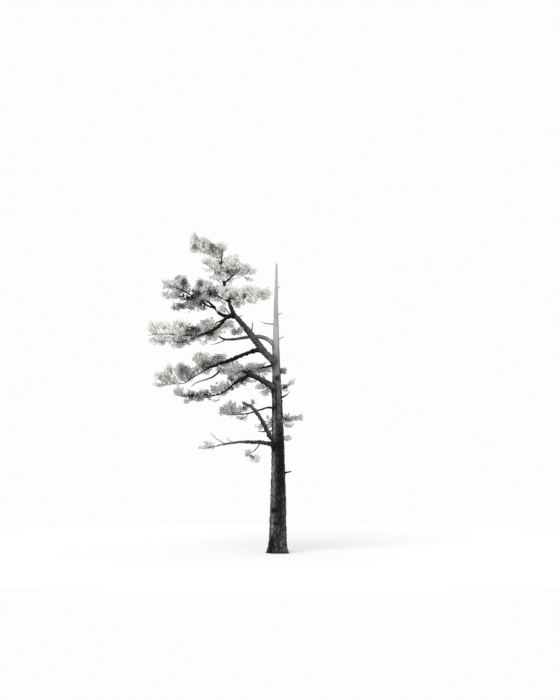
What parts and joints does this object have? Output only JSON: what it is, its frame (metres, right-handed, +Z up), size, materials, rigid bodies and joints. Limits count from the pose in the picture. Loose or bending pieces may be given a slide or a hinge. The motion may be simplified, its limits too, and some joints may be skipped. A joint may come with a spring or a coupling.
{
  "type": "pine tree",
  "caption": "Wind-blown old pine with a straight trunk ending in a bare dead spire, and boughs that all sweep to one side with flat pads of needles.",
  "frame": {"origin": "middle of the flat cut under the trunk, at ground level", "axes": "+Z up the trunk; -X is the lee side that the boughs sweep to, left in the picture; -Y is the side that the picture shows"},
  "size_m": [4.8058, 3.0475, 10.0195],
  "materials": {
    "trunk_bark": "rough fissured bark, bleached and smooth on the dead spire",
    "bough_bark": "rough dark bark",
    "needles": "matt grey-green needles in brushes"
  },
  "bodies": {
    "root": {"trunk": "trunk_bark", "leader": "bough_bark", "leader_top": "bough_bark", "upper_bough": "bough_bark", "upper_outer": "bough_bark", "upper_spur": "bough_bark", "second_bough": "bough_bark", "second_outer": "bough_bark", "second_rise": "bough_bark", "crossing_bough": "bough_bark", "third_bough": "bough_bark", "third_fork": "bough_bark", "third_outer": "bough_bark", "third_drop": "bough_bark", "fourth_bough": "bough_bark", "fourth_left": "bough_bark", "fourth_outer": "bough_bark", "fourth_up": "bough_bark", "back_bough": "bough_bark", "broken_limb": "bough_bark", "broken_spur": "bough_bark", "fifth_bough": "bough_bark", "low_bough": "bough_bark", "low_twig": "bough_bark", "crown_left_bough": "bough_bark", "crown_right_bough": "bough_bark", "shelf_right_bough": "bough_bark", "shelf_left_bough": "bough_bark", "mid_spur": "bough_bark", "crest": "needles", "crown_left": "needles", "crown_right": "needles", "shelf_right": "needles", "shelf_left": "needles", "upper_pad": "needles", "upper_tip": "needles", "upper_inner": "needles", "second_main": "needles", "second_tip": "needles", "second_inner": "needles", "crossing_pad": "needles", "mid_tuft": "needles", "third_pad": "needles", "third_tip": "needles", "fourth_pad": "needles", "back_pad": "needles", "fourth_out": "needles", "fourth_tip": "needles", "fourth_under": "needles", "fifth_pad": "needles", "broken_tuft": "needles", "low_tip": "needles", "low_under": "needles", "inner_tuft": "needles", "right_high_tuft": "needles", "right_mid_tuft": "needles", "right_spray": "needles", "right_low_tuft": "needles"}
  },
  "joints": []
}
